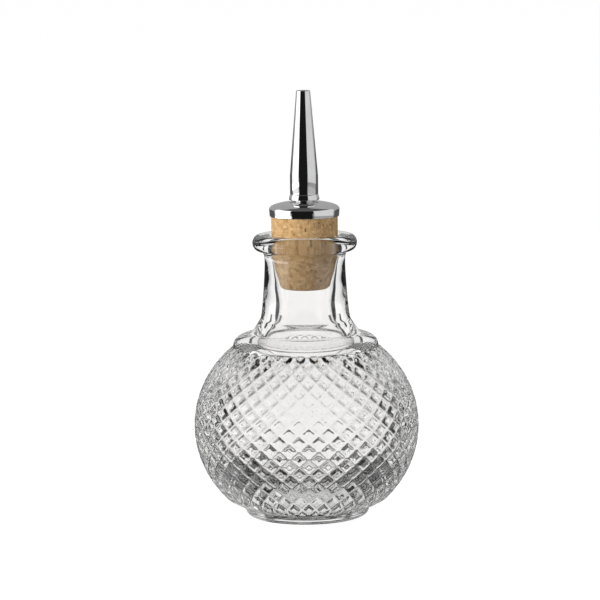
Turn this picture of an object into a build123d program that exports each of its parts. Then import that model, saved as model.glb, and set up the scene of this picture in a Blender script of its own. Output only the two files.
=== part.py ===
from build123d import *
import math
import os

# Bitters bottle with a dasher stopper, in millimetres.
# Z is up, the foot stands on Z = 0 and every piece is centred on the Z axis.

# Foot: the moulded disc under the ball
foot_radius = 20.5
foot_height = 4.2
foot_edge_width = 3.0
foot_edge_height = 2.4
foot_side_height = 0.9
stand_ring_width = 2.6
push_up_height = 1.3
heel_notch_depth = 0.5
heel_overhang = 0.8

# Ball: an ellipsoid, measured over the cut diamonds
ball_radius = 37.2
shoulder_radius = 24.9
cut_height = 52.0
belly_share = 0.504

# Diamond cutting on the ball
diamonds_around = 36
cut_rows = 20
groove_depth = 0.45
bevel_share = 0.5
edge_diamond_height = 0.5

# Smooth band on the shoulder
band_ledge = 0.1
band_height = 4.8
band_side_height = 1.0
band_top_width = 5.5
neck_foot_step = 0.2

# Neck
neck_height = 27.5
neck_flare_radius = 15.7
neck_flare_rise = 3.7
neck_base_radius = 14.4
neck_base_rise = 7.5
neck_waist_radius = 13.3
neck_waist_drop = 4.5
lip_root_radius = 14.1
lip_flare = 0.8

# Lip
lip_radius = 17.25
lip_height = 5.4
lip_edge_width = 2.4
mouth_edge = 0.9

# Inside of the glass
ball_wall = 4.8
shoulder_wall = 6.8
base_wall = 5.2
shoulder_opening_radius = 17.0
throat_flare_radius = 11.5
throat_flare_drop = 6.0
throat_radius = 8.9
throat_drop = 7.9

# Cork, bored through for the feed tube
cork_exposed_height = 6.0
cork_straight_length = 14.0
cork_taper_length = 12.5
cork_taper_middle_radius = 10.05
cork_nose_radius = 8.5
cork_edge = 0.6

# Gaps: cork to mouth, cork to glass beside its taper and nose, cork in its cap, and round the tube
mouth_gap = 0.06
taper_gap = 0.4
nose_gap = 1.1
cork_cap_gap = 0.03
tube_gap = 0.02

# Domed cap over the cork
cap_radius = 11.46
cap_wall = 0.45
cap_flare = 0.14
cap_skirt_height = 2.5
cap_shoulder_width = 1.1
cap_shoulder_height = 1.2
dome_rise = 1.2
dome_bulge_share = 0.75
collar_wall = 0.5
collar_height = 0.5

# Feed tube through the cork and up into the spout
tube_radius = 2.9
tube_wall = 0.4
tube_reach_in_spout = 6.0

# Tapered dasher spout
bead_radius = 5.0
bead_height = 1.8
bead_edge = 0.3
seam_depth = 0.12
seam_width = 0.24
barrel_radius = 4.64
barrel_height = 6.1
cone_height = 28.1
tip_radius = 2.32
tip_edge = 0.3
spout_bore_radius = 1.6
orifice_radius = 1.0
orifice_length = 1.5

full_turn = 360
quarter_turn = 90

# Heights along the bottle
cut_top = foot_height + cut_height
band_top = cut_top + band_height
neck_top = band_top + neck_height
glass_top = neck_top + lip_height
ball_centre = foot_height + belly_share * cut_height

# The ball's half height follows from its radius where the shoulder band takes over
ball_half_height = (cut_top - ball_centre) / math.sqrt(1 - (shoulder_radius / ball_radius) ** 2)

# Spacing of the diamonds: height of one row, and angle of one column
row_pitch = cut_height / cut_rows
column_pitch = full_turn / diamonds_around

# Stopper heights and radii, from the glass upward
cap_bottom = glass_top + cork_exposed_height
cap_shoulder = cap_bottom + cap_skirt_height
dome_base = cap_shoulder + cap_shoulder_height
dome_top = dome_base + dome_rise
cork_top = cap_shoulder
cork_taper_top = cork_top - cork_straight_length
cork_taper_middle = cork_taper_top - cork_taper_length / 2
cork_bottom = cork_taper_top - cork_taper_length
cork_radius = cap_radius - cap_wall - cork_cap_gap
mouth_radius = cork_radius + mouth_gap
tube_bore_radius = tube_radius + tube_gap
collar_radius = tube_bore_radius + collar_wall
spout_bottom = dome_top + collar_height
barrel_bottom = spout_bottom + bead_height
cone_bottom = barrel_bottom + barrel_height
spout_top = cone_bottom + cone_height
tube_top = spout_bottom + tube_reach_in_spout


def at(radius, height):
    """Point of an outline: its distance from the axis, and its height over the table."""
    return Vector(radius, 0, height)


def path(*points):
    """Straight edges from each point of an outline to the next."""
    return [Edge.make_line(a, b) for a, b in zip(points, points[1:])]


def arc(start, middle, end):
    """Circular arc through three points of an outline."""
    return Edge.make_three_point_arc(start, middle, end)


def ellipse_arc(centre, width, height, start_angle, end_angle):
    """Part of an upright ellipse in the outline plane, with angles from outward towards up."""
    half = math.radians(end_angle - start_angle) / 2
    middle = math.radians(start_angle) + half

    def ray(angle):
        return at(width * math.cos(angle), height * math.sin(angle))

    weight = math.cos(half)
    return Edge.make_bezier(centre + ray(middle - half), centre + ray(middle) / weight,
                            centre + ray(middle + half), weights=[1, weight, 1])


def turned(edges):
    """Solid of revolution from the edges of a closed outline."""
    return revolve(make_face(edges), Axis.Z).solid()


def ball_radius_at(height, inset):
    """Radius of the ball at a height, on a surface that lies inset below the diamonds' tops."""
    share = (height - ball_centre) / (ball_half_height - inset)
    return (ball_radius - inset) * math.sqrt(1 - share ** 2)


def row_height(row):
    return foot_height + row * row_pitch


def groove_radius(row):
    """Radius of the groove crossings of a row; the lowest row tucks in to meet the foot."""
    if row == 0:
        return foot_radius + heel_overhang
    return ball_radius_at(row_height(row), groove_depth)


def round_axis(radius, angle, height):
    """Point on the ball: angle zero faces the front, and angles grow towards the right."""
    turn = math.radians(angle)
    return Vector(radius * math.sin(turn), -radius * math.cos(turn), height)


def groove_crossing(row, half_columns):
    """Crossing of two grooves, placed in steps of half a column."""
    return round_axis(groove_radius(row), half_columns * column_pitch / 2, row_height(row))


def diamond_faces(corners, normal, peak):
    """Faces of one diamond: a flat top through peak, and a bevel down to each groove."""
    middle = sum(corners, Vector(0, 0, 0)) / len(corners)
    slopes = []
    for start, end in zip(corners, corners[1:] + corners[:1]):
        along = end - start
        side_middle = (start + end) / 2
        inward = normal.cross(along).normalized()
        bevel = inward * (middle - side_middle).dot(inward) * bevel_share
        rise = normal * (peak - side_middle).dot(normal)
        slopes.append(along.cross(bevel + rise))
    tops = []
    for index, corner in enumerate(corners):
        ridge = slopes[index - 1].cross(slopes[index])
        reach = (peak - corner).dot(normal) / ridge.dot(normal)
        tops.append(corner + ridge * reach)
    outlines = [tops]
    for index, corner in enumerate(corners):
        after = (index + 1) % len(corners)
        outlines.append([corner, corners[after], tops[after], tops[index]])
    return [Face(Wire.make_polygon(outline)) for outline in outlines]


def whole_diamond(row):
    """Diamond with its centre on a row, at the front of the ball."""
    shift = 1 - row % 2
    right = groove_crossing(row, shift + 1)
    top = groove_crossing(row + 1, shift)
    left = groove_crossing(row, shift - 1)
    bottom = groove_crossing(row - 1, shift)
    normal = (right - left).cross(top - bottom).normalized()
    height = row_height(row)
    peak = round_axis(ball_radius_at(height, 0), shift * column_pitch / 2, height)
    return diamond_faces([right, top, left, bottom], normal, peak)


def half_diamond(row, next_row):
    """Half of a diamond along the first or last row, pointing to the next row."""
    right, left = groove_crossing(row, 2), groove_crossing(row, 0)
    point = groove_crossing(next_row, 1)
    corners = [right, point, left] if next_row > row else [left, point, right]
    normal = (corners[1] - corners[0]).cross(corners[2] - corners[1]).normalized()
    middle = sum(corners, Vector(0, 0, 0)) / len(corners)
    return diamond_faces(corners, normal, middle + normal * edge_diamond_height)


def diamond_cutting():
    """Every diamond on the ball: one column is made, then repeated round the axis."""
    column = half_diamond(0, 1) + half_diamond(cut_rows, cut_rows - 1)
    for row in range(1, cut_rows):
        column += whole_diamond(row)
    return [face.moved(Rotation(0, 0, step * column_pitch))
            for step in range(diamonds_around) for face in column]


def ledge(row, circle_radius):
    """Flat ring between the first or last row of diamonds and the turned glass beside it."""
    corners = [groove_crossing(row, 2 * step) for step in range(diamonds_around)]
    circle = Edge.make_circle(circle_radius, Plane(origin=(0, 0, row_height(row))))
    return Face(Wire.make_polygon(corners), [Wire([circle])])


def foot_outline():
    """Underside of the glass, from the axis out over the standing ring and up the foot."""
    stand_outer = foot_radius - foot_edge_width
    stand_inner = stand_outer - stand_ring_width
    notch_radius = foot_radius - heel_notch_depth
    side_top = foot_edge_height + foot_side_height
    cup_radius = (stand_inner ** 2 + push_up_height ** 2) / (2 * push_up_height)
    half_angle = math.asin(stand_inner / cup_radius) / 2
    cup_middle = at(cup_radius * math.sin(half_angle),
                    push_up_height - cup_radius * (1 - math.cos(half_angle)))
    return [
        arc(at(0, push_up_height), cup_middle, at(stand_inner, 0)),
        *path(at(stand_inner, 0), at(stand_outer, 0)),
        ellipse_arc(at(stand_outer, foot_edge_height), foot_edge_width, foot_edge_height,
                    -quarter_turn, 0),
        *path(at(foot_radius, foot_edge_height), at(foot_radius, side_top),
              at(notch_radius, foot_height)),
    ], notch_radius


def shoulder_and_neck_outline():
    """Smooth outside of the glass above the cutting: shoulder band, neck, lip and mouth edge."""
    row_flat = math.cos(math.radians(column_pitch / 2))
    band_radius = groove_radius(cut_rows) * row_flat - band_ledge
    band_side_top = cut_top + band_side_height
    band_inner = band_radius - band_top_width
    neck_foot = at(band_inner - neck_foot_step, band_top)
    neck_flare = at(neck_flare_radius, band_top + neck_flare_rise)
    lip_root = at(lip_root_radius, neck_top)
    neck_waist = at(neck_waist_radius, neck_top - neck_waist_drop)
    neck_points = [neck_foot, neck_flare, at(neck_base_radius, band_top + neck_base_rise),
                   neck_waist, lip_root]
    neck_slopes = [neck_flare - neck_foot, lip_root - neck_waist + at(lip_flare, 0)]
    lip_middle = at(lip_radius - lip_edge_width, neck_top + lip_height / 2)
    mouth_top = glass_top - mouth_edge
    return [
        *path(at(band_radius, cut_top), at(band_radius, band_side_top)),
        ellipse_arc(at(band_inner, band_side_top), band_top_width, band_top - band_side_top,
                    0, quarter_turn),
        *path(at(band_inner, band_top), neck_foot),
        Edge.make_spline(neck_points, neck_slopes),
        *path(lip_root, at(lip_middle.X, neck_top)),
        ellipse_arc(lip_middle, lip_edge_width, lip_height / 2, -quarter_turn, 0),
        ellipse_arc(lip_middle, lip_edge_width, lip_height / 2, 0, quarter_turn),
        *path(at(lip_middle.X, glass_top), at(mouth_radius + mouth_edge, glass_top),
              at(mouth_radius, mouth_top)),
    ], band_radius, mouth_top


def inner_outline(mouth_top):
    """Inside of the glass, from the mouth down the neck, round the ball and to the axis."""
    inner_radius = ball_radius - ball_wall
    upper_height = ball_half_height - shoulder_wall
    lower_height = ball_centre - push_up_height - base_wall
    opening_angle = math.acos(shoulder_opening_radius / inner_radius)
    opening = at(shoulder_opening_radius, ball_centre + upper_height * math.sin(opening_angle))
    opening_slope = at(inner_radius * math.sin(opening_angle),
                       -upper_height * math.cos(opening_angle))
    throat = cork_bottom - throat_drop
    neck_points = [
        at(mouth_radius, cork_taper_top),
        at(cork_taper_middle_radius + taper_gap, cork_taper_middle),
        at(cork_nose_radius + nose_gap, cork_bottom),
        at(throat_radius, throat),
        at(throat_flare_radius, throat - throat_flare_drop),
        opening,
    ]
    return [
        *path(at(mouth_radius, mouth_top), at(mouth_radius, cork_taper_top)),
        Edge.make_spline(neck_points, [at(0, -cork_taper_length), opening_slope]),
        ellipse_arc(at(0, ball_centre), inner_radius, upper_height,
                    0, math.degrees(opening_angle)),
        ellipse_arc(at(0, ball_centre), inner_radius, lower_height, -quarter_turn, 0),
    ]


def make_glass_bottle():
    """The glass: turned faces below and above, and the cut diamonds sewn in between them."""
    foot_edges, notch_radius = foot_outline()
    upper_edges, band_radius, mouth_top = shoulder_and_neck_outline()
    outlines = foot_edges + upper_edges + inner_outline(mouth_top)
    turned_faces = [Face.revolve(edge, full_turn, Axis.Z) for edge in outlines]
    ledges = [ledge(0, notch_radius), ledge(cut_rows, band_radius)]
    return Solid(Shell(turned_faces + ledges + diamond_cutting()))


def make_cork_stopper():
    """Cork: straight under the cap, tapered to its nose, bored for the feed tube."""
    return turned(path(
        at(cork_radius, cork_taper_top),
        at(cork_radius, cork_top - cork_edge),
        at(cork_radius - cork_edge, cork_top),
        at(tube_bore_radius, cork_top),
        at(tube_bore_radius, cork_bottom),
        at(cork_nose_radius - cork_edge, cork_bottom),
        at(cork_nose_radius, cork_bottom + cork_edge),
        at(cork_taper_middle_radius, cork_taper_middle),
        at(cork_radius, cork_taper_top),
    ))


def make_dome_cap():
    """Pressed metal cap: skirt round the cork, shallow dome, and a collar under the spout."""
    skirt_bottom = at(cap_radius, cap_bottom)
    skirt_top = at(cap_radius + cap_flare, cap_shoulder)
    dome_edge = at(cap_radius - cap_shoulder_width, dome_base)
    dome_inner = at(collar_radius, dome_top)
    dome_middle = at((dome_edge.X + dome_inner.X) / 2, dome_base + dome_rise * dome_bulge_share)
    inward, down = at(-cap_wall, 0), at(0, -cap_wall)
    return turned([
        *path(skirt_bottom, skirt_top, dome_edge),
        arc(dome_edge, dome_middle, dome_inner),
        *path(dome_inner, at(collar_radius, spout_bottom), at(tube_bore_radius, spout_bottom),
              at(tube_bore_radius, dome_top - cap_wall), dome_middle + down, dome_edge + down,
              skirt_top + inward, skirt_bottom + inward, skirt_bottom),
    ])


def make_feed_tube():
    """Thin metal tube from the cork's nose up through the cap into the spout."""
    inner = tube_radius - tube_wall
    return turned(path(at(inner, cork_bottom), at(tube_radius, cork_bottom),
                       at(tube_radius, tube_top), at(inner, tube_top), at(inner, cork_bottom)))


def make_spout():
    """Turned spout: bead, seam line, short barrel and long cone, drilled through to its orifice."""
    return turned(path(
        at(tube_bore_radius, spout_bottom),
        at(bead_radius - bead_edge, spout_bottom),
        at(bead_radius, spout_bottom + bead_edge),
        at(barrel_radius, barrel_bottom),
        at(barrel_radius - seam_depth, barrel_bottom + seam_width / 2),
        at(barrel_radius, barrel_bottom + seam_width),
        at(barrel_radius, cone_bottom),
        at(tip_radius, spout_top - tip_edge),
        at(tip_radius - tip_edge, spout_top),
        at(orifice_radius, spout_top),
        at(orifice_radius, spout_top - orifice_length),
        at(spout_bore_radius, spout_top - orifice_length),
        at(spout_bore_radius, tube_top),
        at(tube_bore_radius, tube_top),
        at(tube_bore_radius, spout_bottom),
    ))


def main():
    parts = {
        "glass_bottle": make_glass_bottle(),
        "cork_stopper": make_cork_stopper(),
        "dome_cap": make_dome_cap(),
        "feed_tube": make_feed_tube(),
        "spout": make_spout(),
    }
    os.makedirs("parts", exist_ok=True)
    for name, solid in parts.items():
        export_step(solid, os.path.join("parts", name + ".step"))


main()
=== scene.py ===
"""Looks of the bitters bottle: cut glass, bonded cork and a chromed dasher stopper in a white studio."""

import math

import bpy
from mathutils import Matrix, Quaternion, Vector, noise

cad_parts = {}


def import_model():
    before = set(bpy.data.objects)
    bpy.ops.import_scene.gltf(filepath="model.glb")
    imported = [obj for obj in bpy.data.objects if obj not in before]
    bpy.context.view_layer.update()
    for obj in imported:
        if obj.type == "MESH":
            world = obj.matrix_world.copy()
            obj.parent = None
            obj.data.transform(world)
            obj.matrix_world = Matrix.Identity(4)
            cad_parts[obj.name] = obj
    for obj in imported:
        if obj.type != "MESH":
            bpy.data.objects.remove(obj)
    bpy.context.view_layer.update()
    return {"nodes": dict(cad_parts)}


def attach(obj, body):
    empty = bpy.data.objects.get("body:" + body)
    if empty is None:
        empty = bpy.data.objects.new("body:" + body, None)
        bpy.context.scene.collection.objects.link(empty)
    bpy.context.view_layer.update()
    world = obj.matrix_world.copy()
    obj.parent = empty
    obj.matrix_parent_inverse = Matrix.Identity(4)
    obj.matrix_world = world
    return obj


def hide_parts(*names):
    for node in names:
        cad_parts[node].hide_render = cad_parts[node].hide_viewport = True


MM = 0.001

# Camera: fitted to the photograph, in metres, degrees and pixels of a 600 x 600 picture
CAMERA_DISTANCE = 1.055
CAMERA_HEIGHT = 0.211
CAMERA_AZIMUTH = -1.0
CAMERA_ROLL = -0.62
CAMERA_LENS = 193.2
SENSOR_WIDTH = 36.0
AIM_LEFT = 0.00175
AIM_HEIGHT = 0.072

# Glass, in millimetres: the outline of the CAD solid
FOOT_RADIUS = 20.5
FOOT_EDGE_WIDTH = 3.0
FOOT_EDGE_HEIGHT = 2.4
FOOT_SIDE_TOP = 3.3
NOTCH_RADIUS = 20.0
STAND_INNER_RADIUS = 14.9
PUSH_UP_HEIGHT = 1.3
PUSH_UP_RING_SHARES = (0.15, 0.4, 0.65, 0.85, 1)
CUT_BOTTOM = 4.2
CUT_TOP = 56.2
BALL_RADIUS = 37.2
BALL_CENTRE = 30.408
BALL_HALF_HEIGHT = 34.7
HEEL_RADIUS = 21.3
HEEL_TUCK_POWER = 1.6
NOTCH_SLOPE = (-1.0, 0.4)
BAND_RADIUS = 23.99
BAND_SIDE_TOP = 57.2
BAND_TOP = 61.0
BAND_TOP_WIDTH = 5.5
NECK_FOOT_STEP = 0.2
NECK_TOP = 88.5
LIP_MIDDLE_RADIUS = 14.85
LIP_EDGE_WIDTH = 2.4
GLASS_TOP = 93.9
MOUTH_RADIUS = 11.04
MOUTH_EDGE = 0.9
NECK_OUTSIDE = [(15.7, 64.7), (14.4, 68.5), (13.3, 84.0), (14.1, 88.5)]
NECK_START_SLOPE = (-0.6, 0.8)
NECK_END_SLOPE = (0.45, 1)
NECK_INSIDE = [(11.04, 88.4), (10.45, 82.15), (9.6, 75.9), (8.9, 68.0), (11.5, 62.0)]
INNER_BALL_RADIUS = 32.4
INNER_UPPER_HEIGHT = 27.9
INNER_BOTTOM = 6.5
INNER_OPENING_RADIUS = 17.0
INNER_LAST_ANGLE = -88

# Diamond cutting: each bevel's width as a share of the way between two grooves
DIAMONDS_AROUND = 36
CUT_ROWS = 20
GROOVE_DEPTH = 0.7
BEVEL_SHARE = 0.25
DIAMOND_STEPS = 8
RING_COUNT = DIAMONDS_AROUND * DIAMOND_STEPS

# Cork
CORK_RADIUS = 10.98
CORK_BOTTOM = 75.9
CORK_TAPER_MIDDLE = (10.05, 82.15)
CORK_TAPER_TOP = 88.4
CORK_TOP = 102.4
CORK_NOSE_RADIUS = 8.5
CORK_EDGE = 0.6
CORK_BORE_RADIUS = 2.92
CORK_RING_COUNT = 180
CORK_STEP = 0.42

# Pores and granule gaps in the cork's skin: how many lie in a millimetre, and how deep they go
GRANULES_PER_MM = 1.05
GRANULE_GAP_SHARE = 0.14
GRANULE_GAP_DEPTH = 0.45
WIDE_PORES_PER_MM = 0.9
FINE_PORES_PER_MM = 2.1
FINE_PORE_SHIFT = (7, 3, 5)
PORE_THRESHOLD = 0.27
PORE_DEPTH = 0.55

# Metal stopper
METAL_RING_COUNT = 192
CAP_RADIUS = 11.46
CAP_BOTTOM = 99.9
CAP_SHOULDER_RADIUS = 11.6
CAP_SHOULDER = 102.4
CAP_WALL = 0.45
DOME_EDGE_RADIUS = 10.36
DOME_BASE = 103.6
DOME_TOP = 104.8
DOME_BULGE_SHARE = 0.75
SHOULDER_SLOPE = (-0.25, 1)
DOME_END_SLOPE = (-1, 0.06)
COLLAR_RADIUS = 3.42
COLLAR_RUN = 0.5
COLLAR_CURVE = 0.3
TUBE_BORE_RADIUS = 2.92
SPOUT_BOTTOM = 105.3
BEAD_RADIUS = 5.0
BEAD_EDGE = 0.22
BEAD_SIDE_TOP = 105.9
BEAD_DRAFT = 0.04
BEAD_HOLLOW = 0.08
BEAD_LIP = 0.1
BARREL_BOTTOM = 107.1
BARREL_RADIUS = 4.64
CONE_BOTTOM = 113.2
CONE_BLEND_BELOW = 0.6
CONE_BLEND_ABOVE = 0.7
CONE_BLEND_STEP = 0.01
CONE_BLEND_DRAFT = 0.06
SPOUT_TOP = 141.3
TIP_RADIUS = 2.32
TIP_EDGE = 0.3
SPOUT_BORE_RADIUS = 1.6
ORIFICE_RADIUS = 1.0
ORIFICE_LENGTH = 1.5
ORIFICE_EDGE = 0.15
TUBE_TOP = 111.3
SEAM_DEPTH = 0.07
SEAM_WIDTH = 0.2

# Edges sharper than this stay crisp under smooth shading
CRISP_ANGLE = math.radians(70)


def ellipse_points(centre, width, height, start, end, steps):
    """Points on an upright ellipse of an outline, with angles in degrees from outward towards up."""
    angles = [math.radians(start + (end - start) * k / steps) for k in range(steps + 1)]
    return [(centre[0] + width * math.cos(a), centre[1] + height * math.sin(a)) for a in angles]


def smooth_points(knots, start_slope, end_slope, steps):
    """Smooth curve through the knots of an outline, with each slope scaled to the run beside it."""
    knots = [Vector(knot) for knot in knots]
    slopes = [Vector(start_slope).normalized() * (knots[1] - knots[0]).length]
    for before, after in zip(knots, knots[2:]):
        slopes.append((after - before) / 2)
    slopes.append(Vector(end_slope).normalized() * (knots[-1] - knots[-2]).length)
    points = [tuple(knots[0])]
    for index in range(len(knots) - 1):
        a, b = knots[index], knots[index + 1]
        for step in range(1, steps + 1):
            t = step / steps
            point = (a * (1 + 2 * t) * (1 - t) ** 2 + slopes[index] * t * (1 - t) ** 2
                     + b * t * t * (3 - 2 * t) + slopes[index + 1] * t * t * (t - 1))
            points.append(tuple(point))
    return points


def round_axis(radius, degrees, height):
    """Point in metres: angle zero faces the front, and angles grow towards the right."""
    turn = math.radians(degrees)
    return Vector((radius * math.sin(turn), -radius * math.cos(turn), height)) * MM


class Skin:
    """Vertices and faces of one closed piece, built from rings round the axis."""

    def __init__(self, count):
        self.count = count
        self.vertices = []
        self.faces = []

    def ring(self, radius, height):
        start = len(self.vertices)
        for step in range(self.count):
            self.vertices.append(round_axis(radius, 360 * step / self.count, height))
        return [start + step for step in range(self.count)]

    def pole(self, height):
        self.vertices.append(round_axis(0, 0, height))
        return len(self.vertices) - 1

    def bridge(self, first, second):
        for step in range(self.count):
            after = (step + 1) % self.count
            self.faces.append((first[step], first[after], second[after], second[step]))

    def fan(self, pole, ring, pole_comes_first):
        for step in range(self.count):
            after = (step + 1) % self.count
            if pole_comes_first:
                self.faces.append((pole, ring[after], ring[step]))
            else:
                self.faces.append((ring[step], ring[after], pole))

    def rings(self, outline, before=None):
        """Rings along an outline, joined to the ring before it. Returns the first and last ring."""
        first = None
        for radius, height in outline:
            ring = self.ring(radius, height)
            if before:
                self.bridge(before, ring)
            first = first or ring
            before = ring
        return first, before

    def make(self, name, body, node, material):
        mesh = bpy.data.meshes.new(name)
        mesh.from_pydata(self.vertices, [], self.faces)
        mesh.validate()
        mesh.shade_smooth()
        mesh.set_sharp_from_angle(angle=CRISP_ANGLE)
        mesh.materials.append(material)
        piece = bpy.data.objects.new(name, mesh)
        bpy.context.scene.collection.objects.link(piece)
        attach(piece, body)
        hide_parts(node)
        return piece


def lathed(name, outline, count, body, node, material):
    """Closed turned piece from a closed outline that runs round the metal with its outside on the right."""
    skin = Skin(count)
    first, last = skin.rings(outline)
    skin.bridge(last, first)
    return skin.make(name, body, node, material)


def ball_radius_at(height, inset):
    """Radius of the ball at a height, on a surface that lies inset below the diamonds' tops."""
    share = (height - BALL_CENTRE) / (BALL_HALF_HEIGHT - inset)
    return (BALL_RADIUS - inset) * math.sqrt(1 - share ** 2)


def groove_radius(row):
    """Radius at the bottom of the grooves; the lowest row tucks in to meet the foot."""
    height = CUT_BOTTOM + row * (CUT_TOP - CUT_BOTTOM) / CUT_ROWS
    radius = ball_radius_at(height, GROOVE_DEPTH)
    if row < 1:
        tuck = ball_radius_at(CUT_BOTTOM, GROOVE_DEPTH) - HEEL_RADIUS
        radius -= tuck * (1 - row) ** HEEL_TUCK_POWER
    return radius


def bevel(across):
    """Height of a flat-topped diamond as a share, for a place from 0 to 1 between two grooves."""
    return min(1.0, across / BEVEL_SHARE, (1 - across) / BEVEL_SHARE)


def cut_point(half_columns, row):
    """Point of the diamond-cut ball, in steps of half a column and of one row."""
    rising = ((row + half_columns) / 2) % 1
    falling = ((row - half_columns) / 2) % 1
    crown = GROOVE_DEPTH * bevel(rising) * bevel(falling)
    height = CUT_BOTTOM + row * (CUT_TOP - CUT_BOTTOM) / CUT_ROWS
    share = (height - BALL_CENTRE) / BALL_HALF_HEIGHT
    lean = share * BALL_RADIUS / BALL_HALF_HEIGHT
    flat = math.sqrt(1 - share ** 2)
    length = math.hypot(lean, flat)
    radius = groove_radius(row) + crown * flat / length
    return round_axis(radius, half_columns * 180 / DIAMONDS_AROUND, height + crown * lean / length)


def add_cutting(skin):
    """The cut ball as a lattice of small squares in line with the grooves. Returns its end rings."""
    rows = CUT_ROWS * DIAMOND_STEPS
    start = len(skin.vertices)
    for j in range(rows + 1):
        for m in range(skin.count):
            half_columns = (2 * m + j % 2) / DIAMOND_STEPS
            skin.vertices.append(cut_point(half_columns, j / DIAMOND_STEPS))

    def vertex(m, j):
        return start + j * skin.count + m % skin.count

    for m in range(skin.count):
        skin.faces.append((vertex(m, 0), vertex(m + 1, 0), vertex(m, 1)))
        skin.faces.append((vertex(m, rows - 1), vertex(m + 1, rows), vertex(m, rows)))
    for j in range(rows - 1):
        shift = j % 2
        for m in range(skin.count):
            skin.faces.append((vertex(m, j), vertex(m + shift, j + 1), vertex(m, j + 2),
                               vertex(m + shift - 1, j + 1)))
    return ([vertex(m, 0) for m in range(skin.count)],
            [vertex(m, rows) for m in range(skin.count)])


def foot_outline():
    """Underside and foot of the glass, from beside the axis to the notch under the ball."""
    cup = [(STAND_INNER_RADIUS * share, PUSH_UP_HEIGHT * (1 - share ** 2))
           for share in PUSH_UP_RING_SHARES]
    stand_outer = FOOT_RADIUS - FOOT_EDGE_WIDTH
    edge = ellipse_points((stand_outer, FOOT_EDGE_HEIGHT), FOOT_EDGE_WIDTH, FOOT_EDGE_HEIGHT,
                          -90, 0, 12)
    side = smooth_points([edge[-1], (FOOT_RADIUS, FOOT_SIDE_TOP), (NOTCH_RADIUS, CUT_BOTTOM)],
                         (0, 1), NOTCH_SLOPE, 5)
    return cup + edge + side[1:]


def shoulder_outline():
    """Shoulder band, neck and lip of the glass, from the top of the cutting to the mouth."""
    band_inner = BAND_RADIUS - BAND_TOP_WIDTH
    band = [(BAND_RADIUS, CUT_TOP)]
    band += ellipse_points((band_inner, BAND_SIDE_TOP), BAND_TOP_WIDTH, BAND_TOP - BAND_SIDE_TOP,
                           0, 90, 14)
    neck = smooth_points([(band_inner - NECK_FOOT_STEP, BAND_TOP)] + NECK_OUTSIDE,
                         NECK_START_SLOPE, NECK_END_SLOPE, 7)
    lip = ellipse_points((LIP_MIDDLE_RADIUS, (NECK_TOP + GLASS_TOP) / 2), LIP_EDGE_WIDTH,
                         (GLASS_TOP - NECK_TOP) / 2, -90, 90, 20)
    mouth = ellipse_points((MOUTH_RADIUS + MOUTH_EDGE, GLASS_TOP - MOUTH_EDGE), MOUTH_EDGE,
                           MOUTH_EDGE, 90, 180, 6)
    return band + neck + lip + mouth


def inside_outline():
    """Inside of the glass, from the mouth down to just beside the axis."""
    opening = math.degrees(math.acos(INNER_OPENING_RADIUS / INNER_BALL_RADIUS))
    upper = ellipse_points((0, BALL_CENTRE), INNER_BALL_RADIUS, INNER_UPPER_HEIGHT, opening, 0, 14)
    lower = ellipse_points((0, BALL_CENTRE), INNER_BALL_RADIUS, BALL_CENTRE - INNER_BOTTOM,
                           0, INNER_LAST_ANGLE, 22)
    slope = (upper[1][0] - upper[0][0], upper[1][1] - upper[0][1])
    neck = smooth_points(NECK_INSIDE + [upper[0]], (0, -1), slope, 6)
    return neck + upper[1:] + lower[1:]


def make_glass(material):
    """Closed glass: foot, cut ball, shoulder band, neck, lip and the smooth inside."""
    skin = Skin(RING_COUNT)
    underside = skin.pole(PUSH_UP_HEIGHT)
    first, notch = skin.rings(foot_outline())
    skin.fan(underside, first, True)
    cut_start, cut_end = add_cutting(skin)
    skin.bridge(notch, cut_start)
    last = skin.rings(shoulder_outline() + inside_outline(), cut_end)[1]
    skin.fan(skin.pole(INNER_BOTTOM), last, False)
    return skin.make("cut_glass_bottle", "bottle", "glass_bottle", material)


def spaced(outline, step):
    """The outline with points added along its straight runs, at most a step apart."""
    points = []
    for a, b in zip(outline, outline[1:] + outline[:1]):
        parts = max(1, math.ceil(math.dist(a, b) / step))
        for k in range(parts):
            points.append((a[0] + (b[0] - a[0]) * k / parts, a[1] + (b[1] - a[1]) * k / parts))
    return points


def cork_pit(point):
    """Depth of the pores and granule gaps at a point of the cork's skin, in millimetres."""
    place = point / MM
    granules = noise.voronoi(place * GRANULES_PER_MM)[0]
    gap = max(0.0, GRANULE_GAP_SHARE - (granules[1] - granules[0])) * GRANULE_GAP_DEPTH
    wide = noise.noise(place * WIDE_PORES_PER_MM)
    fine = noise.noise(place * FINE_PORES_PER_MM + Vector(FINE_PORE_SHIFT))
    return gap + max(0.0, (wide + fine) / 2 - PORE_THRESHOLD) * PORE_DEPTH


def make_cork(material):
    """Bonded cork, bored for the feed tube, with pores and granule gaps sunk into its skin."""
    outline = [
        (CORK_BORE_RADIUS, CORK_TOP),
        (CORK_BORE_RADIUS, CORK_BOTTOM),
        (CORK_NOSE_RADIUS - CORK_EDGE, CORK_BOTTOM),
        (CORK_NOSE_RADIUS, CORK_BOTTOM + CORK_EDGE),
        CORK_TAPER_MIDDLE,
        (CORK_RADIUS, CORK_TAPER_TOP),
        (CORK_RADIUS, CORK_TOP - CORK_EDGE),
        (CORK_RADIUS - CORK_EDGE, CORK_TOP),
    ]
    skin = Skin(CORK_RING_COUNT)
    first, last = skin.rings(spaced(outline, CORK_STEP))
    skin.bridge(last, first)
    for vertex in skin.vertices:
        radius = math.hypot(vertex.x, vertex.y)
        if radius > (CORK_BORE_RADIUS + CORK_EDGE) * MM:
            shrink = 1 - cork_pit(vertex) * MM / radius
            vertex.x *= shrink
            vertex.y *= shrink
    return skin.make("bonded_cork", "stopper", "cork_stopper", material)


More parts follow.
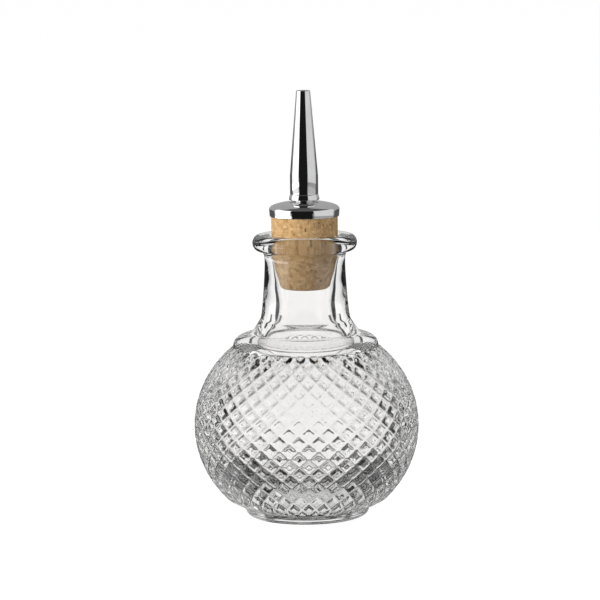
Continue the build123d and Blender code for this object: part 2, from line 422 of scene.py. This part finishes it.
def make_cap(material):
    """Pressed cap: rolled skirt edge, rounded shoulder, shallow dome and collar."""
    roll = CAP_WALL / 2
    skirt_edge = ellipse_points((CAP_RADIUS - roll, CAP_BOTTOM + roll), roll, roll, -180, 0, 8)
    dome_middle = (DOME_EDGE_RADIUS + COLLAR_RADIUS) / 2
    dome_bulge = DOME_BASE + (DOME_TOP - DOME_BASE) * DOME_BULGE_SHARE
    shoulder = smooth_points(
        [(CAP_SHOULDER_RADIUS, CAP_SHOULDER), (DOME_EDGE_RADIUS, DOME_BASE),
         (dome_middle, dome_bulge), (COLLAR_RADIUS + COLLAR_RUN, DOME_TOP)],
        SHOULDER_SLOPE, DOME_END_SLOPE, 10)
    collar = ellipse_points((COLLAR_RADIUS + COLLAR_CURVE, DOME_TOP + COLLAR_CURVE), COLLAR_CURVE,
                            COLLAR_CURVE, -90, -180, 5)
    outline = skirt_edge + shoulder + collar + [
        (COLLAR_RADIUS, SPOUT_BOTTOM),
        (TUBE_BORE_RADIUS, SPOUT_BOTTOM),
        (TUBE_BORE_RADIUS, DOME_TOP - CAP_WALL),
        (dome_middle, dome_bulge - CAP_WALL),
        (DOME_EDGE_RADIUS, DOME_BASE - CAP_WALL),
        (CAP_SHOULDER_RADIUS - CAP_WALL, CAP_SHOULDER),
    ]
    return lathed("domed_cap", outline, METAL_RING_COUNT, "stopper", "dome_cap",
                  material)


def make_spout(material):
    """Turned spout: flared bead, seam line, short barrel, long cone, rounded tip and its bore."""
    bead = ellipse_points((BEAD_RADIUS - BEAD_EDGE, SPOUT_BOTTOM + BEAD_EDGE), BEAD_EDGE, BEAD_EDGE,
                          -90, 0, 6)
    bead += [(BEAD_RADIUS - BEAD_DRAFT, BEAD_SIDE_TOP),
             (BARREL_RADIUS + BEAD_HOLLOW, BARREL_BOTTOM - BEAD_LIP),
             (BARREL_RADIUS + BEAD_DRAFT, BARREL_BOTTOM)]
    seam = [(BARREL_RADIUS - SEAM_DEPTH, BARREL_BOTTOM + SEAM_WIDTH / 2),
            (BARREL_RADIUS, BARREL_BOTTOM + SEAM_WIDTH)]
    cone = [(BARREL_RADIUS, CONE_BOTTOM - CONE_BLEND_BELOW),
            (BARREL_RADIUS - CONE_BLEND_STEP, CONE_BOTTOM),
            (BARREL_RADIUS - CONE_BLEND_DRAFT, CONE_BOTTOM + CONE_BLEND_ABOVE)]
    tip = ellipse_points((TIP_RADIUS - TIP_EDGE, SPOUT_TOP - TIP_EDGE), TIP_EDGE, TIP_EDGE, 0, 90, 6)
    outline = [(TUBE_BORE_RADIUS, SPOUT_BOTTOM)] + bead + seam + cone + tip + [
        (ORIFICE_RADIUS + ORIFICE_EDGE, SPOUT_TOP),
        (ORIFICE_RADIUS, SPOUT_TOP - ORIFICE_EDGE),
        (ORIFICE_RADIUS, SPOUT_TOP - ORIFICE_LENGTH),
        (SPOUT_BORE_RADIUS, SPOUT_TOP - ORIFICE_LENGTH),
        (SPOUT_BORE_RADIUS, TUBE_TOP),
        (TUBE_BORE_RADIUS, TUBE_TOP),
    ]
    return lathed("dasher_spout", outline, METAL_RING_COUNT, "stopper", "spout",
                  material)


# Materials: colours as red, green and blue, and patterns by how many lie in a metre
GLASS_TINT = (0.99, 0.985, 0.979, 1.0)
GLASS_SHADOW_TINT = (0.82, 0.83, 0.825, 1.0)
GLASS_REFRACTION = 1.5
SMUDGES_PER_METRE = 90.0
SMUDGE_ROUGHNESS = 0.03
WAVES_PER_METRE = 160.0
WAVE_HEIGHT = 0.00004
CORK_SHADES = [
    (0.3, (0.40, 0.215, 0.082)),
    (0.42, (0.545, 0.33, 0.142)),
    (0.55, (0.64, 0.405, 0.185)),
    (0.7, (0.74, 0.50, 0.26)),
]
FINE_GRANULES_PER_METRE = 1050.0
GRAIN_PER_METRE = 3400.0
MOTTLE_PER_METRE = 380.0
SPECKS_PER_METRE = 1150.0
SPECK_STRETCH = (1.0, 1.0, 0.5)
SPECK_BRIGHTNESS = 0.36
GAP_BRIGHTNESS = 0.8
CORK_RELIEF = 0.00008
CHROME_SHADES = [(0.35, (0.80, 0.80, 0.81)), (0.65, (0.87, 0.87, 0.875))]
SMEARS_PER_METRE = 260.0
CHROME_ROUGHNESS = (0.035, 0.1)
TURNING_LINES_PER_METRE = 5200.0
TURNING_STRETCH = (0.02, 0.02, 1.0)
TURNING_LINE_HEIGHT = 0.000004


class Nodes:
    """Short ways to add and link nodes in one node tree."""

    def __init__(self, tree):
        self.tree = tree

    def add(self, kind, **settings):
        node = self.tree.nodes.new(kind)
        for name, value in settings.items():
            setattr(node, name, value)
        return node

    def put(self, socket, value):
        if isinstance(value, bpy.types.NodeSocket):
            self.tree.links.new(value, socket)
        elif value is not None:
            socket.default_value = value

    def math(self, operation, first, second=None):
        node = self.add("ShaderNodeMath", operation=operation)
        self.put(node.inputs[0], first)
        self.put(node.inputs[1], second)
        return node.outputs[0]

    def step(self, value, low, high, to_low=0.0, to_high=1.0):
        """Smooth step of a value between two limits."""
        node = self.add("ShaderNodeMapRange", interpolation_type="SMOOTHSTEP")
        for socket, number in zip(node.inputs, (value, low, high, to_low, to_high)):
            self.put(socket, number)
        return node.outputs[0]

    def blend(self, share, first, second):
        """Number between two others, by a share from 0 to 1."""
        node = self.add("ShaderNodeMix", data_type="FLOAT")
        self.put(node.inputs["Factor"], share)
        self.put(node.inputs["A"], first)
        self.put(node.inputs["B"], second)
        return node.outputs["Result"]

    def staircase(self, value, first, changes, soft):
        """A level that changes at each place of a table of places and levels, over soft edges."""
        level = first
        for place, after in changes:
            level = self.blend(self.step(value, place - soft, place + soft), level, after)
        return level

    def colours(self, share, stops):
        ramp = self.add("ShaderNodeValToRGB")
        elements = ramp.color_ramp.elements
        while len(elements) < len(stops):
            elements.new(0.5)
        for element, (place, colour) in zip(elements, stops):
            element.position = place
            element.color = (*colour, 1.0)
        self.put(ramp.inputs["Fac"], share)
        return ramp.outputs["Color"]

    def mix_shader(self, share, first, second):
        node = self.add("ShaderNodeMixShader")
        self.put(node.inputs[0], share)
        self.put(node.inputs[1], first)
        self.put(node.inputs[2], second)
        return node.outputs[0]

    def place(self, scale=(1.0, 1.0, 1.0)):
        """The piece's own coordinates, in metres, stretched by a scale."""
        coordinates = self.add("ShaderNodeTexCoord")
        mapping = self.add("ShaderNodeMapping")
        mapping.inputs["Scale"].default_value = scale
        self.put(mapping.inputs["Vector"], coordinates.outputs["Object"])
        return mapping.outputs["Vector"]

    def noise(self, vector, scale, detail=3.0, roughness=0.5):
        node = self.add("ShaderNodeTexNoise")
        self.put(node.inputs["Vector"], vector)
        node.inputs["Scale"].default_value = scale
        node.inputs["Detail"].default_value = detail
        node.inputs["Roughness"].default_value = roughness
        return node.outputs["Fac"]

    def voronoi(self, vector, scale, feature="F1"):
        node = self.add("ShaderNodeTexVoronoi", feature=feature)
        self.put(node.inputs["Vector"], vector)
        node.inputs["Scale"].default_value = scale
        return node

    def bump(self, height, distance, strength=1.0):
        node = self.add("ShaderNodeBump")
        self.put(node.inputs["Height"], height)
        node.inputs["Distance"].default_value = distance
        node.inputs["Strength"].default_value = strength
        return node.outputs["Normal"]


def new_material(name):
    """Empty node material. Returns it with its nodes, its Principled shader and its output."""
    material = bpy.data.materials.new(name)
    material.use_nodes = True
    nodes = Nodes(material.node_tree)
    shader = material.node_tree.nodes["Principled BSDF"]
    output = material.node_tree.nodes["Material Output"]
    return material, nodes, shader, output


def glass_material():
    """Clear pressed glass: faint waves in its surface, and a few places dulled by handling."""
    material, nodes, shader, output = new_material("clear_pressed_glass")
    place = nodes.place()
    shader.inputs["Base Color"].default_value = GLASS_TINT
    shader.inputs["Transmission Weight"].default_value = 1.0
    shader.inputs["IOR"].default_value = GLASS_REFRACTION
    smudges = nodes.noise(place, SMUDGES_PER_METRE, 4.0, 0.6)
    nodes.put(shader.inputs["Roughness"], nodes.step(smudges, 0.5, 0.75, 0.0, SMUDGE_ROUGHNESS))
    waves = nodes.noise(place, WAVES_PER_METRE, 1.0, 0.4)
    nodes.put(shader.inputs["Normal"], nodes.bump(waves, WAVE_HEIGHT, 0.6))
    light = nodes.add("ShaderNodeLightPath")
    clear = nodes.add("ShaderNodeBsdfTransparent")
    clear.inputs["Color"].default_value = GLASS_SHADOW_TINT
    surface = nodes.mix_shader(light.outputs["Is Shadow Ray"], shader.outputs[0], clear.outputs[0])
    nodes.put(output.inputs["Surface"], surface)
    return material


def cork_material():
    """Ground and bonded cork: fine tan granules of several shades, with brown specks and streaks."""
    material, nodes, shader, _ = new_material("bonded_cork")
    place = nodes.place()
    granules = nodes.voronoi(place, FINE_GRANULES_PER_METRE)
    shade = nodes.add("ShaderNodeSeparateColor")
    nodes.put(shade.inputs[0], granules.outputs["Color"])
    grain = nodes.noise(place, GRAIN_PER_METRE, 4.0, 0.6)
    mottle = nodes.noise(place, MOTTLE_PER_METRE, 4.0, 0.62)
    tone = nodes.blend(0.5, nodes.blend(0.45, shade.outputs[0], grain), mottle)
    colour = nodes.colours(tone, CORK_SHADES)
    gaps = nodes.voronoi(place, FINE_GRANULES_PER_METRE, "DISTANCE_TO_EDGE").outputs["Distance"]
    gap_shade = nodes.step(gaps, 0.0, 0.09, GAP_BRIGHTNESS, 1.0)
    specks = nodes.noise(nodes.place(SPECK_STRETCH), SPECKS_PER_METRE, 3.0, 0.6)
    speck_shade = nodes.step(specks, 0.62, 0.7, 1.0, SPECK_BRIGHTNESS)
    darken = nodes.add("ShaderNodeMix", data_type="RGBA", blend_type="MULTIPLY")
    darken.inputs["Factor"].default_value = 1.0
    nodes.put(darken.inputs["A"], colour)
    nodes.put(darken.inputs["B"], nodes.math("MULTIPLY", gap_shade, speck_shade))
    nodes.put(shader.inputs["Base Color"], darken.outputs["Result"])
    nodes.put(shader.inputs["Roughness"], nodes.step(grain, 0.3, 0.7, 0.62, 0.85))
    relief = nodes.math("MULTIPLY", nodes.math("ADD", gap_shade, grain), speck_shade)
    nodes.put(shader.inputs["Normal"], nodes.bump(relief, CORK_RELIEF, 0.7))
    return material


def chrome_material():
    """Mirror chrome: fine turning lines round the axis, and faint fingerprints in its gloss."""
    material, nodes, shader, _ = new_material("polished_chrome")
    shader.inputs["Metallic"].default_value = 1.0
    smears = nodes.noise(nodes.place(), SMEARS_PER_METRE, 4.0, 0.6)
    nodes.put(shader.inputs["Base Color"], nodes.colours(smears, CHROME_SHADES))
    nodes.put(shader.inputs["Roughness"], nodes.step(smears, 0.45, 0.75, *CHROME_ROUGHNESS))
    lines = nodes.noise(nodes.place(TURNING_STRETCH), TURNING_LINES_PER_METRE, 2.0, 0.5)
    nodes.put(shader.inputs["Normal"], nodes.bump(lines, TURNING_LINE_HEIGHT, 0.35))
    return material


# Studio, as azimuths and heights in degrees round the object, with zero azimuth at the front.
# Each table has the places where the brightness changes, with the brightness from there on.
EDGE_SOFTNESS = 2.0
DIFFUSE_LEVEL = 0.4

# What chrome and the outside of the glass mirror: azimuths of the white left and the grey right
MIRROR_LEFT = (-112.0, -48.0)
MIRROR_RIGHT = (30.0, 112.0)
MIRROR_BACK_LEVEL = 0.4
MIRROR_LEFT_LEVEL = 1.6
MIRROR_FRONT_LEVEL = 0.01
MIRROR_RIGHT_LEVEL = 0.72
MIRROR_TOP = 34.0
MIRROR_ROOF = 0.1
MIRROR_TOP_SOFTNESS = 4.0
MIRROR_BACK_TOP = 62.0
MIRROR_BACK_TOP_SOFTNESS = 6.0
MIRROR_BACK_START = (108.0, 112.0)
MIRROR_FLOOR_SOFTNESS = 7.0

# The floor in the mirror, by distance from the axis in metres: painted light, a glow of its own that chrome
# and glass mirror, brightest to the left
MIRROR_FLOOR_BACK = 0.1
MIRROR_FLOOR_LEFT_CENTRE = 1.0
MIRROR_FLOOR_LEFT = [(0.3, 5.0), (0.52, 1.6)]
MIRROR_FLOOR_RIGHT_CENTRE = 0.5
MIRROR_FLOOR_RIGHT = [(0.3, 0.35), (0.52, 0.72)]
MIRROR_FLOOR_EDGE = 0.03

# What shows through the glass, by the turn from the front to the back, in four bands of height
CLEAR_FRONT = 0.5
CLEAR_LOW = [(60.0, 0.2), (80.0, 0.9), (100.0, 0.01), (128.0, 0.9), (147.0, 0.01), (156.0, 1.0)]
CLEAR_MIDDLE = [(0.0, 0.2), (60.0, 0.01), (128.0, 0.9), (147.0, 0.01), (156.0, 1.0)]
CLEAR_HIGH = [(0.0, 0.1), (130.0, 0.8), (160.0, 0.3)]
CLEAR_ROOF = 0.02
CLEAR_LOW_TOP = 12.0
CLEAR_MIDDLE_TOP = 30.0
CLEAR_HIGH_TOP = 60.0

# The floor through the glass, by distance from the axis in metres, in four ranges of turn: painted light
# and shade, with a dark ring round the foot as a painted contact shadow
FLOOR_TURNS = (95.0, 128.0, 147.0)
FLOOR_FRONT_CENTRE = 0.8
FLOOR_FRONT = [(0.012, 0.65), (0.022, 0.01), (0.05, 0.75)]
FLOOR_SIDE_CENTRE = 0.9
FLOOR_SIDE = [(0.022, 0.01), (0.044, 0.9), (0.09, 0.01)]
FLOOR_TURNED_CENTRE = 0.9
FLOOR_TURNED = [(0.022, 0.01), (0.046, 1.0)]
FLOOR_BACK_CENTRE = 1.0
FLOOR_BACK = [(0.022, 0.01), (0.042, 1.0)]
FLOOR_EDGE_SOFTNESS = 0.001

FLOOR_HALF_SIZE = 6.0
FLOOR_DIFFUSE_SHARE = 0.3
FLOOR_GLOW = 1.25
FLOOR_GREY = (0.8, 0.8, 0.8, 1.0)
FLOOR_ROUGHNESS = 0.9
WHITE = (1.0, 1.0, 1.0, 1.0)

# Lamps in metres and watts, aimed at the bottle's middle
LAMP_AIM = (0, 0, 0.07)
LAMP_SIZE = 0.5
KEY_PLACE = (-0.95, -0.5, 0.5)
KEY_POWER = 12.0
FILL_PLACE = (0.8, -0.6, 0.4)
FILL_POWER = 1.0


def azimuth_of(nodes, x, y):
    """Azimuth in degrees, zero towards the front and growing to the right."""
    return nodes.math("DEGREES", nodes.math("ARCTAN2", x, nodes.math("MULTIPLY", y, -1.0)))


def mirror_zones(nodes, azimuth, back, left, right, soft):
    """Brightness by azimuth: back, left, dark front, right and back again."""
    return nodes.staircase(azimuth, back, [
        (MIRROR_LEFT[0], left), (MIRROR_LEFT[1], MIRROR_FRONT_LEVEL),
        (MIRROR_RIGHT[0], right), (MIRROR_RIGHT[1], back)], soft)


def mirror_level(nodes, azimuth, height):
    """Brightness of the studio in chrome: white left, grey right, dark front and dark roof."""
    side = mirror_zones(nodes, azimuth, MIRROR_BACK_LEVEL, MIRROR_LEFT_LEVEL, MIRROR_RIGHT_LEVEL,
                        EDGE_SOFTNESS)
    side_top = nodes.staircase(height, side, [(MIRROR_TOP, MIRROR_ROOF)], MIRROR_TOP_SOFTNESS)
    back_top = nodes.staircase(height, side, [(MIRROR_BACK_TOP, MIRROR_ROOF)],
                               MIRROR_BACK_TOP_SOFTNESS)
    is_back = nodes.step(nodes.math("ABSOLUTE", azimuth), *MIRROR_BACK_START)
    return nodes.blend(is_back, side_top, back_top)


def clear_level(nodes, azimuth, height):
    """Brightness of the studio through the glass: a white back window between dark flags."""
    turn = nodes.math("ABSOLUTE", azimuth)
    low, middle, high = (nodes.staircase(turn, CLEAR_FRONT, table, EDGE_SOFTNESS)
                         for table in (CLEAR_LOW, CLEAR_MIDDLE, CLEAR_HIGH))
    return nodes.staircase(height, low, [
        (CLEAR_LOW_TOP, middle), (CLEAR_MIDDLE_TOP, high), (CLEAR_HIGH_TOP, CLEAR_ROOF)],
        EDGE_SOFTNESS)


def make_world():
    """White for the camera, a studio for metal and glass, and plain light for everything else."""
    world = bpy.data.worlds.new("white_studio")
    bpy.context.scene.world = world
    world.use_nodes = True
    nodes = Nodes(world.node_tree)
    light = nodes.add("ShaderNodeLightPath")
    parts = nodes.add("ShaderNodeSeparateXYZ")
    nodes.put(parts.inputs[0], nodes.add("ShaderNodeTexCoord").outputs["Generated"])
    x, y, z = parts.outputs
    azimuth = azimuth_of(nodes, x, y)
    height = nodes.math("DEGREES", nodes.math("ARCSINE", z))
    level = nodes.blend(light.outputs["Is Glossy Ray"], DIFFUSE_LEVEL,
                        mirror_level(nodes, azimuth, height))
    level = nodes.blend(light.outputs["Is Transmission Ray"], level,
                        clear_level(nodes, azimuth, height))
    level = nodes.blend(light.outputs["Is Camera Ray"], level, 1.0)
    nodes.put(world.node_tree.nodes["Background"].inputs["Strength"], level)
    world.node_tree.nodes["Background"].inputs["Color"].default_value = WHITE


def floor_levels(nodes):
    """Painted brightness of the floor through the glass, with its painted contact shadow round the foot,
    and in the mirror of chrome and glass.
    """
    parts = nodes.add("ShaderNodeSeparateXYZ")
    nodes.put(parts.inputs[0], nodes.add("ShaderNodeTexCoord").outputs["Object"])
    x, y, _ = parts.outputs
    away = nodes.math("SQRT", nodes.math("ADD", nodes.math("MULTIPLY", x, x),
                                         nodes.math("MULTIPLY", y, y)))
    azimuth = azimuth_of(nodes, x, y)
    front, side, turned, back = (
        nodes.staircase(away, centre, table, FLOOR_EDGE_SOFTNESS)
        for centre, table in ((FLOOR_FRONT_CENTRE, FLOOR_FRONT), (FLOOR_SIDE_CENTRE, FLOOR_SIDE),
                              (FLOOR_TURNED_CENTRE, FLOOR_TURNED), (FLOOR_BACK_CENTRE, FLOOR_BACK)))
    clear = nodes.staircase(nodes.math("ABSOLUTE", azimuth), front,
                            list(zip(FLOOR_TURNS, (side, turned, back))), EDGE_SOFTNESS)
    left = nodes.staircase(away, MIRROR_FLOOR_LEFT_CENTRE, MIRROR_FLOOR_LEFT, MIRROR_FLOOR_EDGE)
    right = nodes.staircase(away, MIRROR_FLOOR_RIGHT_CENTRE, MIRROR_FLOOR_RIGHT, MIRROR_FLOOR_EDGE)
    mirror = mirror_zones(nodes, azimuth, MIRROR_FLOOR_BACK, left, right, MIRROR_FLOOR_SOFTNESS)
    return clear, mirror


def floor_material():
    """White floor that still takes a faint shadow, with painted levels of its own in metal and glass:
    painted light, and a painted contact shadow seen through the glass.
    """
    material, nodes, shader, output = new_material("white_floor")
    shader.inputs["Base Color"].default_value = FLOOR_GREY
    shader.inputs["Roughness"].default_value = FLOOR_ROUGHNESS
    light = nodes.add("ShaderNodeLightPath")
    white = nodes.add("ShaderNodeEmission")
    white.inputs["Strength"].default_value = FLOOR_GLOW
    matt = nodes.add("ShaderNodeBsdfDiffuse")
    matt.inputs["Color"].default_value = WHITE
    seen = nodes.mix_shader(FLOOR_DIFFUSE_SHARE, white.outputs[0], matt.outputs[0])
    clear, mirror = floor_levels(nodes)
    special = nodes.math("MAXIMUM", light.outputs["Is Glossy Ray"],
                         light.outputs["Is Transmission Ray"])
    # Metal and glass see the floor glow with painted light and a painted contact shadow round the foot, not
    # lit by the lamps
    glow = nodes.add("ShaderNodeEmission")
    level = nodes.blend(light.outputs["Is Transmission Ray"], mirror, clear)
    nodes.put(glow.inputs["Strength"], level)
    surface = nodes.mix_shader(special, shader.outputs[0], glow.outputs[0])
    surface = nodes.mix_shader(light.outputs["Is Camera Ray"], surface, seen)
    nodes.put(output.inputs["Surface"], surface)
    return material


def make_floor():
    mesh = bpy.data.meshes.new("floor")
    half = FLOOR_HALF_SIZE
    mesh.from_pydata([(-half, -half, 0), (half, -half, 0), (half, half, 0), (-half, half, 0)],
                     [], [(0, 1, 2, 3)])
    mesh.materials.append(floor_material())
    floor = bpy.data.objects.new("floor", mesh)
    bpy.context.scene.collection.objects.link(floor)


def make_lamp(name, place, power):
    """Soft square lamp that faces the bottle; metal and glass see the studio instead of it."""
    data = bpy.data.lights.new(name, "AREA")
    data.size = LAMP_SIZE
    data.energy = power
    lamp = bpy.data.objects.new(name, data)
    lamp.location = place
    aim = Vector(LAMP_AIM) - Vector(place)
    lamp.rotation_euler = aim.to_track_quat("-Z", "Y").to_euler()
    lamp.visible_glossy = False
    lamp.visible_transmission = False
    bpy.context.scene.collection.objects.link(lamp)


def make_camera():
    """Camera at the photograph's viewing angle."""
    azimuth = math.radians(CAMERA_AZIMUTH)
    place = Vector((CAMERA_DISTANCE * math.sin(azimuth), -CAMERA_DISTANCE * math.cos(azimuth),
                    CAMERA_HEIGHT))
    aim = Vector((-AIM_LEFT, 0, AIM_HEIGHT))
    data = bpy.data.cameras.new("photo_camera")
    data.lens = CAMERA_LENS
    data.sensor_width = SENSOR_WIDTH
    camera = bpy.data.objects.new("photo_camera", data)
    camera.location = place
    camera.rotation_mode = "QUATERNION"
    roll = Quaternion((0, 0, 1), math.radians(CAMERA_ROLL))
    camera.rotation_quaternion = (aim - place).to_track_quat("-Z", "Y") @ roll
    bpy.context.scene.collection.objects.link(camera)
    bpy.context.scene.camera = camera


def main():
    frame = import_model()
    bpy.context.scene.view_settings.view_transform = "Standard"
    make_camera()
    make_world()
    make_floor()
    make_lamp("key_left", KEY_PLACE, KEY_POWER)
    make_lamp("fill_right", FILL_PLACE, FILL_POWER)
    chrome = chrome_material()
    make_glass(glass_material())
    make_cork(cork_material())
    make_cap(chrome)
    make_spout(chrome)
    for material_slot in frame["nodes"]["feed_tube"].material_slots:
        material_slot.material = chrome


main()
